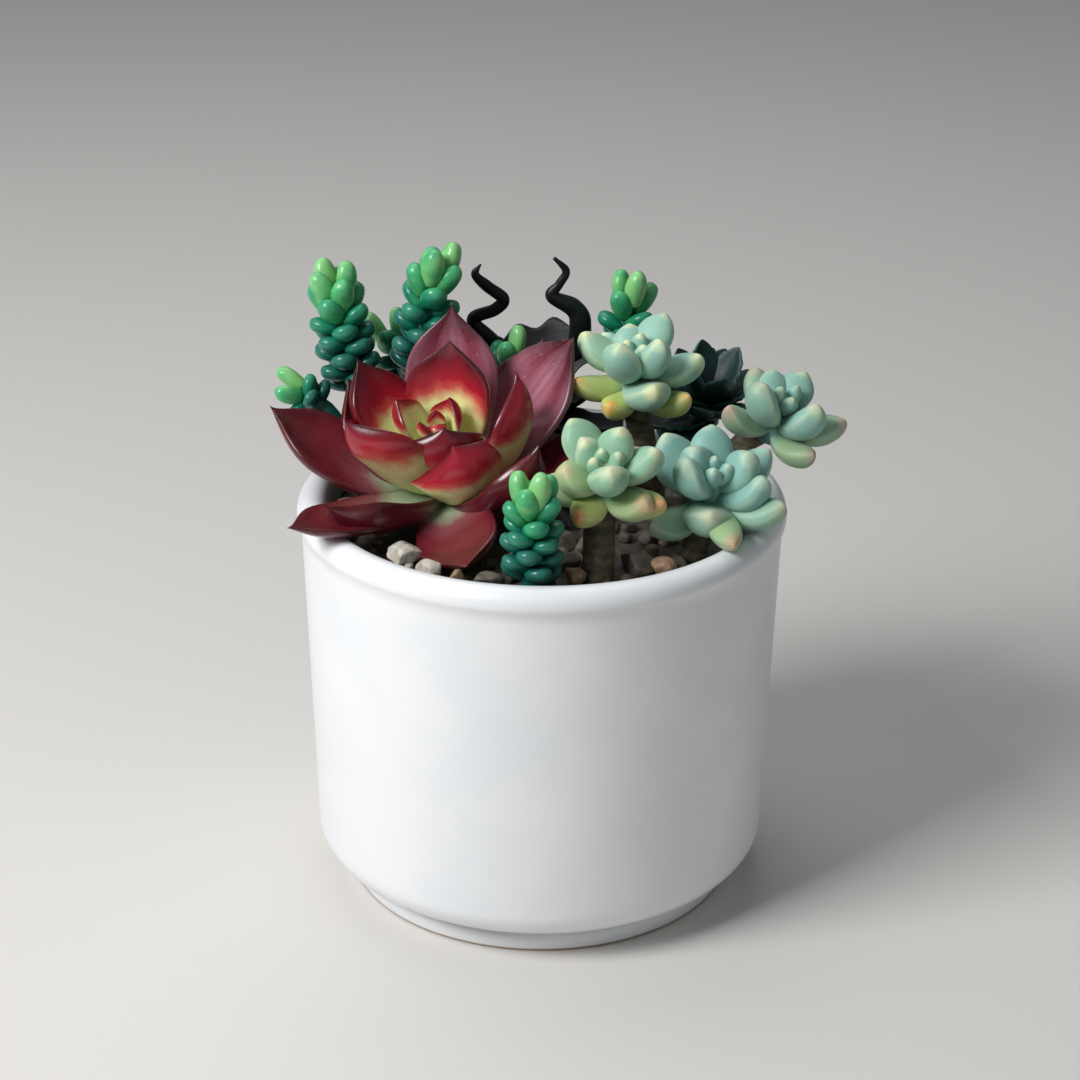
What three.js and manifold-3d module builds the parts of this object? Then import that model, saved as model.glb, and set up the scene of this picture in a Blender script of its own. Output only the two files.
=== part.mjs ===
// A round glazed pot planted with a red echeveria, four pale rosettes on bare stems, seven bead-leaved
// sprigs and two dark toothed plants. Millimetres, +Z up, origin under the pot's axis, front towards -Y.
import * as THREE from "three";
import { mergeVertices } from "three/addons/utils/BufferGeometryUtils.js";
import Module from "manifold-3d";

const wasm = await Module();
wasm.setup();
const { Manifold, Mesh: SolidMesh } = wasm;

// Driving dimensions of the pot and its filling.
const POT_HEIGHT = 100.3;
const RIM_RADIUS = 59.1;
const LIP_RADIUS = 3.8;
const BODY_RADIUS_TOP = 58;
const BODY_RADIUS_LOW = 55.6;
const CORNER_RADIUS = 7.7;
const FOOT_RADIUS = 47.2;
const FOOT_HEIGHT = 4.2;
const POT_FLOOR = 8;
const INNER_RADIUS = RIM_RADIUS - 2 * LIP_RADIUS;
const SEGMENTS = 36;
const SOIL_TOP = 91.5;
const GRAVEL_TOP = 93.6;
const GAP = 0.3;

const rad = THREE.MathUtils.degToRad;
const vec = (p) => new THREE.Vector3(...p);

// Numbers between 0 and 1 that repeat on every run.
function seeded(seed) {
  let state = seed;
  return () => {
    state = (state + 0x6d2b79f5) | 0;
    let t = Math.imul(state ^ (state >>> 15), 1 | state);
    t = (t + Math.imul(t ^ (t >>> 7), 61 | t)) ^ t;
    return ((t ^ (t >>> 14)) >>> 0) / 4294967296;
  };
}

function solidOf(geometry) {
  const bare = geometry.clone();
  bare.deleteAttribute("normal");
  bare.deleteAttribute("uv");
  const merged = mergeVertices(bare, 1e-4);
  return new Manifold(
    new SolidMesh({
      numProp: 3,
      vertProperties: merged.attributes.position.array,
      triVerts: new Uint32Array(merged.index.array),
    }),
  );
}

function union(solids) {
  return solids.reduce((whole, piece) => whole.add(piece));
}

// Closes a stack of point rings with a point at each end.
function skin(rings, start, end) {
  const sides = rings[0].length;
  const points = [start, ...rings.flat(), end];
  const faces = [];
  const last = points.length - 1;
  const at = (i, k) => 1 + i * sides + (k % sides);
  for (let k = 0; k < sides; k++) {
    faces.push(0, at(0, k + 1), at(0, k));
    for (let i = 0; i + 1 < rings.length; i++) {
      faces.push(at(i, k), at(i, k + 1), at(i + 1, k + 1));
      faces.push(at(i, k), at(i + 1, k + 1), at(i + 1, k));
    }
    faces.push(last, at(rings.length - 1, k), at(rings.length - 1, k + 1));
  }
  const geometry = new THREE.BufferGeometry();
  geometry.setAttribute("position", new THREE.Float32BufferAttribute(points.flatMap((p) => p.toArray()), 3));
  geometry.setIndex(faces);
  return solidOf(geometry);
}

// How wide a leaf is along its length, as a share of its full width.
function swell(t, { root, widest, belly = 2, point }) {
  if (t < widest) return root + (1 - root) * Math.sin((Math.PI / 2) * (t / widest));
  return Math.pow(1 - Math.pow((t - widest) / (1 - widest), belly), point);
}

// A fleshy leaf from base to tip. Its upper side looks along `face`; `bow` sags the middle away from
// that side, `sway` bends it sideways, `cup` lifts the edges and `scallop` waves them.
function leaf(spec) {
  const { base, tip, width, thick, bow, cup, sides, stations } = spec;
  const { scallop = 0, waves = 3, roll = 0, sway = 0 } = spec;
  const along = tip.clone().sub(base);
  const length = along.length();
  const chord = along.clone().normalize();
  const face = spec.face.clone().addScaledVector(chord, -spec.face.dot(chord)).normalize();
  face.applyAxisAngle(chord, rad(roll));
  const across = new THREE.Vector3().crossVectors(face, chord);
  const rings = stations.map((t) => {
    const share = swell(t, spec);
    const bend = 4 * t * (1 - t);
    const slope = 4 * (1 - 2 * t);
    const centre = base.clone().addScaledVector(along, t);
    centre.addScaledVector(face, -bow * bend).addScaledVector(across, sway * bend);
    const run = chord.clone().multiplyScalar(length);
    run.addScaledVector(face, -bow * slope).addScaledVector(across, sway * slope).normalize();
    const side = new THREE.Vector3().crossVectors(face, run).normalize();
    const up = new THREE.Vector3().crossVectors(run, side);
    const wave = 1 + scallop * Math.cos(2 * Math.PI * waves * t);
    return Array.from({ length: sides }, (_, k) => {
      const turn = (2 * Math.PI * k) / sides - Math.PI / 2;
      const x = Math.cos(turn);
      const y = Math.sin(turn);
      const belly = (y > 0 ? 0.4 : 0.6) * thick * Math.pow(share, 0.7);
      return centre
        .clone()
        .addScaledVector(side, 0.5 * width * share * x * wave)
        .addScaledVector(up, belly * y + cup * share * x * x);
    });
  });
  return skin(rings, base, tip);
}

// A stem: round sections of given radii along a few points, optionally grown all round.
function stem(points, radii, grow = 0, sides = 8) {
  const path = points.map(vec);
  const first = path[0].clone().sub(path[1]).normalize();
  const last = path[path.length - 1].clone().sub(path[path.length - 2]).normalize();
  path[0].addScaledVector(first, grow);
  path[path.length - 1].addScaledVector(last, grow);
  const rings = path.map((p, i) => {
    const ahead = path[Math.min(i + 1, path.length - 1)];
    const behind = path[Math.max(i - 1, 0)];
    const run = ahead.clone().sub(behind).normalize();
    const side = new THREE.Vector3(0, 1, 0).cross(run).normalize();
    const up = new THREE.Vector3().crossVectors(run, side);
    return Array.from({ length: sides }, (_, k) => {
      const turn = (2 * Math.PI * k) / sides;
      return p
        .clone()
        .addScaledVector(side, (radii[i] + grow) * Math.cos(turn))
        .addScaledVector(up, (radii[i] + grow) * Math.sin(turn));
    });
  });
  return skin(rings, path[0], path[path.length - 1]);
}

// Axis, rightward and backward directions of a rosette.
function bearings(axis) {
  const up = vec(axis).normalize();
  const right = new THREE.Vector3(1, 0, 0).addScaledVector(up, -up.x).normalize();
  return { up, right, back: new THREE.Vector3().crossVectors(up, right) };
}

// Leaves round a heart. `turn` runs from the right through the back, `lean` opens from the axis.
function rosette({ heart, axis, core, depth, kind, leaves }) {
  const { up, right, back } = bearings(axis);
  const middle = vec(heart);
  const foot = middle.clone().addScaledVector(up, -depth);
  const parts = [stem([foot.toArray(), middle.toArray()], [core, core * 0.4], 0, 8)];
  for (const [turn, lean, length, drop, width, extra] of leaves) {
    const out = right.clone().multiplyScalar(Math.cos(rad(turn))).addScaledVector(back, Math.sin(rad(turn)));
    const way = up.clone().multiplyScalar(Math.cos(rad(lean))).addScaledVector(out, Math.sin(rad(lean)));
    const base = middle.clone().addScaledVector(up, -drop);
    const tip = base.clone().addScaledVector(way, length);
    parts.push(leaf({ ...kind, base, tip, face: up, width, ...extra }));
  }
  return union(parts);
}

// Bead leaves set spirally up a stem, larger, closer and more upright at the crown.
function sprig({ foot, bend, top, start, count, size }) {
  const curve = new THREE.QuadraticBezierCurve3(vec(foot), vec(bend), vec(top));
  const marks = [0, 0.25, 0.5, 0.75, 1].map((t) => curve.getPoint(t).toArray());
  const radii = [1.5, 1.5, 2.4, 2.8, 1.4];
  const parts = [stem(marks, radii, 0, 6)];
  for (let i = 0; i < count; i++) {
    const share = i / (count - 1);
    const along = start + (0.97 - start) * Math.pow(share, 0.9);
    const run = curve.getTangent(along);
    const side = new THREE.Vector3(0, 1, 0).cross(run).normalize();
    const turn = rad(137.5 * i + 20);
    const out = side.applyAxisAngle(run, turn);
    const crown = Math.max(0, (share - 0.62) / 0.38);
    const lean = rad(70 - 58 * crown);
    const length = size * (0.86 + 0.32 * crown);
    const way = run.clone().multiplyScalar(Math.cos(lean)).addScaledVector(out, Math.sin(lean));
    const base = curve.getPoint(along).addScaledVector(out, 0.5 + 0.9 * crown);
    const tip = base.clone().addScaledVector(way, length);
    parts.push(
      leaf({
        base, tip, face: run, width: size * (0.74 - 0.12 * crown), thick: size * (0.46 + 0.06 * crown),
        bow: 0, cup: 0, root: 0.5, widest: 0.5, point: 0.5, sides: 4, stations: [0.3, 0.78],
      }),
    );
  }
  return { solid: union(parts), hole: stem(marks, radii, GAP, 6) };
}

// Pot: turned wall with a rounded lip, a shallow groove under it and a foot ring.
function potProfile() {
  const points = [[0, 0], [FOOT_RADIUS - 0.8, 0], [FOOT_RADIUS, 0.8], [FOOT_RADIUS, FOOT_HEIGHT]];
  points.push([FOOT_RADIUS - 0.9, FOOT_HEIGHT + 0.6]);
  const cx = BODY_RADIUS_LOW - CORNER_RADIUS;
  const cz = FOOT_HEIGHT + 0.6 + CORNER_RADIUS + 2;
  for (const turn of [-72, -50, -30, -12, 2]) {
    points.push([cx + CORNER_RADIUS * Math.cos(rad(turn)), cz + CORNER_RADIUS * Math.sin(rad(turn))]);
  }
  points.push([BODY_RADIUS_TOP, POT_HEIGHT - 8.6], [BODY_RADIUS_TOP + 0.15, POT_HEIGHT - 6.3]);
  const lip = RIM_RADIUS - LIP_RADIUS;
  for (const turn of [-14, 10, 36, 62, 90, 118, 146, 174]) {
    const height = POT_HEIGHT + LIP_RADIUS * (Math.sin(rad(turn)) - 1);
    points.push([lip + LIP_RADIUS * Math.cos(rad(turn)), height]);
  }
  points.push([INNER_RADIUS, POT_HEIGHT - 10], [INNER_RADIUS, POT_FLOOR + 7], [INNER_RADIUS - 7, POT_FLOOR]);
  points.push([0, POT_FLOOR]);
  return points;
}

function turned(points, segments = SEGMENTS) {
  const outline = points.map((p) => new THREE.Vector2(...p));
  return solidOf(new THREE.LatheGeometry(outline, segments).rotateX(Math.PI / 2));
}

const soilRadius = INNER_RADIUS - GAP;
const soilProfile = [
  [0, POT_FLOOR + GAP], [soilRadius - 7.1, POT_FLOOR + GAP], [soilRadius, POT_FLOOR + 7.4],
  [soilRadius, SOIL_TOP - 1], [soilRadius - 1, SOIL_TOP], [0, SOIL_TOP],
];

// Pebbles scattered over a thin bed, each sunk to about its middle. They leave room under the low front
// leaves and round the sprig at the front edge.
const CLEARINGS = [[-22, -14, 18], [-2.5, -42.5, 4]];
function gravelBed() {
  const random = seeded(6);
  const bed = [
    [0, SOIL_TOP + GAP], [soilRadius, SOIL_TOP + GAP], [soilRadius, GRAVEL_TOP - 0.4],
    [soilRadius - 0.6, GRAVEL_TOP], [0, GRAVEL_TOP],
  ];
  const parts = [turned(bed, 28)];
  const placed = [...CLEARINGS];
  for (let tries = 0; tries < 1500 && placed.length < 26; tries++) {
    const size = 2.8 + 2.8 * random();
    const reach = (soilRadius - size - 1) * Math.sqrt(random());
    const turn = 2 * Math.PI * random();
    const x = reach * Math.cos(turn);
    const y = reach * Math.sin(turn);
    if (placed.some((p) => Math.hypot(p[0] - x, p[1] - y) < 0.9 * (p[2] + size))) continue;
    placed.push([x, y, size]);
    const pebble = new THREE.IcosahedronGeometry(size, 0);
    pebble.applyMatrix4(
      new THREE.Matrix4().makeRotationFromEuler(new THREE.Euler(6 * random(), 6 * random(), 6 * random())),
    );
    pebble.scale(1, 0.75 + 0.25 * random(), 0.62);
    pebble.rotateZ(6 * random());
    pebble.translate(x, y, GRAVEL_TOP + 0.15 * size);
    parts.push(solidOf(pebble).trimByPlane([0, 0, 1], GRAVEL_TOP - 1));
  }
  return union(parts);
}

// Main echeveria: [turn, lean, length, drop, width, extra].
const redLeaf = {
  thick: 4.8, bow: 5, cup: 2.4, root: 0.5, widest: 0.56, belly: 3.4, point: 2, sides: 8,
  stations: [0.06, 0.36, 0.64, 0.85],
};
const outer = { bow: 6, cup: 2 };
const heartLeaf = { thick: 3.4, bow: 2, sides: 5, stations: [0.1, 0.5, 0.84] };
const innermost = { thick: 2.6, bow: 0.5, cup: 0.3, sides: 4, stations: [0.1, 0.6] };
const echeveria = {
  heart: [-25, -4, 118.8], axis: [-0.06, -0.22, 0.97], core: 5.5, depth: 24, kind: redLeaf,
  leaves: [
    [168, 62, 47.1, 20, 22, { bow: 5, cup: 2 }],
    [141, 51, 36.8, 20, 20, outer],
    [82, 37, 45.9, 20, 23, outer],
    [46, 54, 45.5, 20, 20, outer],
    [30, 52, 48.5, 19, 27, { bow: 5, cup: 1.5, point: 1.5, sway: 1.4 }],
    [2, 69, 44.1, 20, 20, outer],
    [333, 49, 36.5, 21.5, 17, { bow: 8, cup: 1.5, roll: -28, thick: 5.5 }],
    [280, 81.5, 40.4, 18.8, 20, { bow: 1.2, cup: 1.5, roll: 14, widest: 0.64, point: 1.2, belly: 2.6 }],
    [227, 64, 41.5, 20.5, 17, { cup: 3, roll: 28 }],
    [226, 71, 51.5, 19.5, 15, { bow: 2, cup: 1, thick: 3.4, roll: -2 }],
    [142, 42, 35.9, 16, 19, {}],
    [73, 23, 33.7, 15, 21, { bow: 3 }],
    [201, 39, 35.7, 19.5, 24, { cup: 6, roll: 25, bow: 3 }],
    [13, 34, 35.4, 17.6, 18, { cup: 4, roll: -32, bow: 9 }],
    [288, 30, 25.2, 19, 26, { bow: 7, cup: 8, roll: 5, sway: 2.8 }],
    [166, 32, 18.6, 9, 12, heartLeaf],
    [45, 17, 15.5, 9, 10, heartLeaf],
    [284, 25, 22.4, 14.4, 22, { ...heartLeaf, bow: 4, cup: 4, sway: -0.5 }],
    [221, 28, 10.9, 6, 4.5, innermost],
    [103, 4, 10, 6, 4.5, innermost],
  ],
};

// Pale rosettes on bare stems.
const paleLeaf = {
  thick: 7, bow: 1.2, cup: 0.2, root: 0.42, widest: 0.56, belly: 2.2, point: 0.7, sides: 5,
  stations: [0.1, 0.48, 0.82],
};
const bud = { thick: 3.8, bow: 0.4, cup: 0, sides: 4, stations: [0.2, 0.7] };
const heads = [
  {
    heart: [22.3, 10, 132.9], axis: [0.05, -0.3, 0.95],
    stem: [[26.5, 15, 76], [26, 15, 98], [22.5, 13.8, 118], [22, 12.6, 124]],
    leaves: [
      [160, 69, 14.5, 4, 8.5, { bow: 2.4 }], [239, 33, 15, 5.5, 10.5, { bow: 2.4 }],
      [99, 61, 10.5, 4, 8.5], [53, 55, 14.5, 4, 9.5], [128, 76, 13, 6, 8],
      [312, 30, 14.5, 5, 8.5, { bow: 2 }], [352, 68, 17, 5.5, 9, { bow: 2.6 }],
      [290, 65, 14.5, 7.5, 11.5, { bow: 3 }], [203, 78, 16, 8.5, 7.5, { thick: 6, bow: 2.6 }],
      [243, 85, 13, 9.5, 8, { thick: 6, bow: 2.6 }], [324, 77, 16.5, 9.5, 9, { thick: 6, bow: 3.8 }],
      [190, 18, 7.5, 4, 4.5, bud], [60, 12, 8, 4, 4.5, bud], [310, 20, 7.5, 4, 5, bud],
    ],
  },
  {
    heart: [14.3, -33, 121.1], axis: [0, -0.5, 0.86],
    stem: [[13, -36, 76], [13, -35.5, 94], [13.4, -31, 106], [14.1, -28, 113]],
    leaves: [
      [127, 61, 15, 4, 10], [134, 44, 9.5, 4, 8, { bow: 2 }], [59, 35, 11.5, 4, 9], [280, 30, 12, 5, 10],
      [8, 56, 14.5, 5, 8.5, { bow: 2 }], [190, 57, 11.5, 6, 9.5, { bow: 2 }],
      [182, 73, 14, 9, 8.5, { bow: 2.8 }], [318, 68, 13.5, 8, 9.5, { bow: 3 }],
      [334, 77, 15.5, 9, 8, { thick: 6, bow: 3 }], [241, 72, 13, 10, 8, { thick: 6, bow: 1.4 }],
      [45, 80, 13, 8, 8.5], [200, 22, 7.5, 4, 4.2, bud], [110, 16, 7, 4, 4.2, bud],
      [10, 22, 8.5, 4.5, 5, bud],
    ],
  },
  {
    heart: [40.1, -24, 115.7], axis: [0.1, -0.4, 0.9],
    stem: [[35, -23, 76], [35.5, -23, 92], [38.1, -21, 104], [39.1, -20.2, 108.3]],
    leaves: [
      [128, 80, 18, 6, 13.5, { bow: 4.2 }], [94, 59, 14, 4, 10.5], [156, 35, 10.5, 4, 9],
      [16, 38, 11.5, 4.5, 10, { bow: 2.6 }], [39, 79, 18, 6, 10, { bow: 3.2 }],
      [200, 36, 13, 5.5, 11, { bow: 1.7 }], [344, 52, 14.5, 7, 9.5, { bow: 3 }],
      [266, 58, 12.5, 9.5, 12, { bow: 3 }], [336, 69, 19, 9, 9.5, { bow: 3.2 }],
      [217, 83, 18, 9.8, 8.5, { thick: 6, bow: 4 }], [284, 77, 19.5, 9, 8, { thick: 6, bow: 1.2 }],
      [250, 18, 8, 4.5, 4.5, bud], [100, 14, 7, 4, 4.2, bud], [0, 22, 7.5, 4.5, 4.8, bud],
    ],
  },
  {
    heart: [58.7, 6, 122.4], axis: [0.3, -0.3, 0.9],
    stem: [[40.5, 13, 76], [41.5, 13, 96], [48, 12, 107], [55.6, 9, 113.4]],
    leaves: [
      [127, 71, 13, 5, 8.5, { bow: 2 }], [112, 63, 10.5, 4, 8.5], [209, 38, 15, 6.5, 11, { bow: 1.8 }],
      [62, 54, 11.5, 4, 9.5, { bow: 2 }], [315, 36, 13.5, 6.5, 10, { bow: 3 }],
      [356, 67, 17, 8, 8.5, { bow: 2.6 }], [199, 72, 15.5, 8, 8, { thick: 6, bow: 2.8 }],
      [302, 74, 15.5, 9, 8, { thick: 6, bow: 2.8 }], [90, 78, 12, 7, 8], [190, 20, 7.5, 4, 4.2, bud],
      [40, 16, 7.5, 4, 4.2, bud], [280, 22, 7.5, 4.5, 4.8, bud],
    ],
  },
];
const stemRadii = [[3.2, 3.2, 3.3, 2.6], [3.9, 3.9, 3.7, 2.6], [3.2, 3.2, 3.2, 2.4], [2.9, 2.9, 2.9, 2.4]];

// Bead-leaved sprigs: foot in the soil, bend, top, where the leaves start, how many, leaf length.
const sprigs = [
  { foot: [-38, 24, 76], bend: [-47, 26, 118], top: [-51, 28, 142], start: 0.54, count: 28, size: 9 },
  { foot: [-31, 26, 76], bend: [-34, 28, 118], top: [-26, 29, 147], start: 0.58, count: 22, size: 9 },
  { foot: [-24, 39, 76], bend: [-29, 39, 108], top: [-38.5, 41, 126], start: 0.7, count: 10, size: 8 },
  { foot: [-43, 17, 76], bend: [-44, 17.5, 112], top: [-61, 18.5, 118.5], start: 0.82, count: 9, size: 7 },
  {
    foot: [-2.5, -42.5, 76], bend: [-2.5, -42.5, 98], top: [-2, -42.5, 116.5],
    start: 0.48, count: 24, size: 8.3,
  },
  { foot: [17.2, 36.6, 76], bend: [17.8, 36.5, 110], top: [22, 38, 138], start: 0.66, count: 16, size: 8.4 },
  { foot: [-9, 31.5, 76], bend: [-9, 31.5, 100], top: [-8.5, 31.5, 125], start: 0.76, count: 9, size: 7.5 },
];

// Large dark plant: a few broad wavy leaves and two that run out into curling tips.
const darkLeaf = {
  thick: 3, bow: 2, cup: 1.5, root: 0.6, widest: 0.45, point: 0.6, sides: 4,
  stations: [0.06, 0.17, 0.33, 0.5, 0.67, 0.83], scallop: 0.1,
};
const darkAgave = {
  heart: [-3, 43, 112], axis: [0, -0.1, 1], core: 4.2, depth: 12, kind: darkLeaf,
  leaves: [
    [55, 58, 22, 6, 13, {}], [125, 58, 22, 6, 13, {}], [182, 62, 20, 8, 12, {}], [356, 62, 20, 8, 12, {}],
    [315, 78, 32, 8, 14, {}],
  ],
};
const wavyLeaf = { base: [-15, 43, 116], tip: [14, 41, 123], width: 17, face: [0, -0.8, 0.6] };
const curlLeft = {
  points: [[-6, 43, 110], [-12, 41, 122], [-17.5, 40, 129.5], [-12, 40, 132.4], [-10, 40, 135.2],
    [-14, 40, 138.5], [-16.9, 40, 141.5], [-15.6, 40, 144.2]],
  radii: [2.4, 2.4, 1.7, 1.6, 1.6, 1.5, 1.1, 0.4],
};
const curlRight = {
  points: [[0, 43, 110], [8, 41, 121], [9.3, 40, 129], [7.5, 40, 133], [2.2, 40, 136], [4, 40, 139.2],
    [5.6, 40, 142.6], [2.6, 40, 146]],
  radii: [2.6, 2.8, 2.8, 2.4, 1.7, 1.1, 1, 0.7],
};

// Small dark plant at the right, with short toothed leaves.
const toothedAgave = {
  heart: [42, 31, 116], axis: [0.15, -0.15, 0.97], core: 3.8, depth: 10,
  kind: {
    thick: 3, bow: 1, cup: 1, root: 0.7, widest: 0.5, point: 0.75, sides: 4,
    stations: [0.12, 0.34, 0.5, 0.67, 0.83], scallop: 0.14,
  },
  leaves: [
    [20, 58, 16, 5, 9.5, {}], [75, 56, 16, 5, 9.5, {}], [130, 58, 16, 5, 9.5, {}], [185, 62, 15, 5, 9.5, {}],
    [245, 66, 14, 6, 9.5, {}], [310, 66, 15, 6, 9.5, {}], [45, 32, 15, 4, 8.5, {}], [120, 30, 15, 4, 8.5, {}],
    [200, 32, 13, 4, 8.5, {}], [285, 34, 12, 4, 8.5, {}],
    [195, 92, 18, 9, 11, {}], [232, 94, 18, 9, 11, {}],
  ],
};

const paint = (color, roughness) => new THREE.MeshStandardMaterial({ color, roughness, metalness: 0 });
const materials = {
  glaze: paint("#e9ebec", 0.35),
  soil: paint("#2c241e", 0.95),
  gravel: paint("#8d8578", 0.8),
  red: paint("#8a2b38", 0.4),
  pale: paint("#a3c9b4", 0.55),
  bark: paint("#6d6353", 0.85),
  bead: paint("#2f8f63", 0.4),
  dark: paint("#23292b", 0.5),
  slate: paint("#33474a", 0.5),
};

const group = new THREE.Group();
function put(name, solid, material) {
  const { vertProperties, triVerts } = solid.getMesh();
  const geometry = new THREE.BufferGeometry();
  geometry.setAttribute("position", new THREE.Float32BufferAttribute(vertProperties, 3));
  geometry.setIndex(Array.from(triVerts));
  const flat = geometry.toNonIndexed();
  flat.computeVertexNormals();
  const mesh = new THREE.Mesh(flat, material);
  mesh.name = name;
  group.add(mesh);
}

const holes = [];
const red = echeveria;
const { up: redUp } = bearings(red.axis);
const redFoot = vec(red.heart).addScaledVector(redUp, -red.depth + 2);
const redStem = [[-21, 10, 76], [-21.3, 9.6, 92], redFoot.toArray()];
const redRadii = [4.2, 4.2, 4.6];
holes.push(stem(redStem, redRadii, GAP));
put("echeveria_rosette", union([rosette(red), stem(redStem, redRadii)]), materials.red);

heads.forEach((head, i) => {
  const letter = "abcd"[i];
  const socket = stem(head.stem, stemRadii[i], GAP);
  holes.push(socket);
  const crown = rosette({ ...head, core: 4.2, depth: 12, kind: paleLeaf });
  put(`pale_rosette_${letter}`, crown.subtract(socket), materials.pale);
  put(`pale_stem_${letter}`, stem(head.stem, stemRadii[i]), materials.bark);
});

sprigs.forEach((spec, i) => {
  const { solid, hole } = sprig(spec);
  holes.push(hole);
  put(`bead_sprig_${i + 1}`, solid, materials.bead);
});

const darkStem = [[-3, 43.5, 76], [-3, 44, 103]];
holes.push(stem(darkStem, [3.6, 3.6], GAP));
const wavy = leaf({
  ...darkLeaf, base: vec(wavyLeaf.base), tip: vec(wavyLeaf.tip), face: vec(wavyLeaf.face),
  width: wavyLeaf.width, widest: 0.5, root: 0.5, scallop: 0.16, bow: 1,
});
put(
  "dark_agave",
  union([
    rosette(darkAgave), wavy, stem(darkStem, [3.6, 3.6]),
    stem(curlLeft.points, curlLeft.radii, 0, 6), stem(curlRight.points, curlRight.radii, 0, 6),
  ]),
  materials.dark,
);

const slateStem = [[34, 26, 76], [34.5, 26.5, 97], [40.2, 32.2, 108]];
holes.push(stem(slateStem, [3, 3, 3], GAP));
put("toothed_agave", union([rosette(toothedAgave), stem(slateStem, [3, 3, 3])]), materials.slate);

const bores = union(holes);
put("pot", turned(potProfile()), materials.glaze);
put("potting_soil", turned(soilProfile, 28).subtract(bores), materials.soil);
put("gravel", gravelBed().subtract(bores), materials.gravel);

export default group;
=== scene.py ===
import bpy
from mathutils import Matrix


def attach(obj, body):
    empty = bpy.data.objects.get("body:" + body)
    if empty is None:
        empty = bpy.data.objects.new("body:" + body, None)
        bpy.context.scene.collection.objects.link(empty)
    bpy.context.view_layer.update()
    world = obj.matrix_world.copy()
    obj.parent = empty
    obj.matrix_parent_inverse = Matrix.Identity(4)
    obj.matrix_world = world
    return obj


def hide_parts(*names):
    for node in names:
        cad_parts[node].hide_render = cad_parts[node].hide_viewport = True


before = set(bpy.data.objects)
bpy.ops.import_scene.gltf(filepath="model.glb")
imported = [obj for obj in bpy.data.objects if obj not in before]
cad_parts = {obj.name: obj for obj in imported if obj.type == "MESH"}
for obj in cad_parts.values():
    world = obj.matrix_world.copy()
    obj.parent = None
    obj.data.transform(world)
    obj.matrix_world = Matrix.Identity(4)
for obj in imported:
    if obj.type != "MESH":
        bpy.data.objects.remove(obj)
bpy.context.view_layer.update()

import math
import random

import bmesh
import bpy
from mathutils import Matrix, Vector, noise

scene = bpy.context.scene
mm = 0.001


# Shared helpers. Everything is shaped in millimetres and scaled once at the end.

def toLinear(hexText):
    channels = [int(hexText[i:i + 2], 16) / 255 for i in (1, 3, 5)]
    return tuple(c / 12.92 if c <= 0.04045 else ((c + 0.055) / 1.055) ** 2.4 for c in channels) + (1.0,)


def addNode(tree, kind, settings=None, links=None):
    node = tree.nodes.new("ShaderNode" + kind)
    for key, value in (settings or {}).items():
        if key == "stops":
            while len(node.color_ramp.elements) < len(value):
                node.color_ramp.elements.new(0.5)
            for element, (place, colour) in zip(node.color_ramp.elements, value):
                element.position = place
                element.color = toLinear(colour) if isinstance(colour, str) else (colour, colour, colour, 1)
        elif isinstance(key, str) and hasattr(node, key):
            setattr(node, key, value)
        else:
            node.inputs[key].default_value = value
    for key, socket in (links or {}).items():
        tree.links.new(socket, node.inputs[key])
    return node


def startMaterial(name):
    material = bpy.data.materials.new(name)
    material.use_nodes = True
    return material, material.node_tree, material.node_tree.nodes["Principled BSDF"]


def finishPiece(mesh, name, material, nodes):
    bmesh.ops.recalc_face_normals(mesh, faces=mesh.faces)
    bmesh.ops.scale(mesh, vec=(mm, mm, mm), verts=mesh.verts)
    data = bpy.data.meshes.new(name)
    mesh.to_mesh(data)
    mesh.free()
    data.shade_smooth()
    data.materials.append(material)
    piece = bpy.data.objects.new(name, data)
    scene.collection.objects.link(piece)
    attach(piece, "root")
    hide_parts(*nodes)
    print(name, "faces", len(data.polygons))
    return piece


def mix(a, b, share):
    return a + (b - a) * share


def ease(low, high, value):
    share = min(1, max(0, (value - low) / (high - low)))
    return share * share * (3 - 2 * share)


def bearings(axis):
    up = Vector(axis).normalized()
    right = (Vector((1, 0, 0)) - up * up.x).normalized()
    return up, right, up.cross(right)


# A smooth way through a few points, and how it runs there.
def wayPoint(points, share):
    path = [Vector(p) for p in points]
    place = min(share, 0.99999) * (len(path) - 1)
    i = int(place)
    t = place - i
    before = path[i - 1] if i > 0 else path[0] * 2 - path[1]
    after = path[i + 2] if i + 2 < len(path) else path[-1] * 2 - path[-2]
    a, b = path[i], path[i + 1]
    point = 0.5 * (2 * a + (b - before) * t + (2 * before - 5 * a + 4 * b - after) * t * t
                   + (3 * a - before - 3 * b + after) * t ** 3)
    run = 0.5 * ((b - before) + 2 * (2 * before - 5 * a + 4 * b - after) * t
                 + 3 * (3 * a - before - 3 * b + after) * t * t)
    return point, run.normalized()


def radiusAt(radii, share):
    place = min(share, 0.99999) * (len(radii) - 1)
    i = int(place)
    return mix(radii[i], radii[i + 1], ease(0, 1, place - i))


# Share of the full width along a leaf: a rounded base, the widest place, then the tip.
def leafShare(t, kind):
    widest = kind["widest"]
    base = math.sqrt(max(0, 1 - (1 - min(1, t / 0.07)) ** 2))
    if t < widest:
        return base * mix(kind["root"], 1, math.sin(math.pi / 2 * t / widest))
    past = (t - widest) / (1 - widest)
    return base * max(0, 1 - past ** kind["belly"]) ** kind["point"]


markNames = ["along", "rim", "under", "age", "tone"]


def startMesh():
    mesh = bmesh.new()
    for name in markNames:
        mesh.verts.layers.float.new(name)
    return mesh


def markLayers(mesh):
    return [mesh.verts.layers.float[name] for name in markNames]


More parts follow.
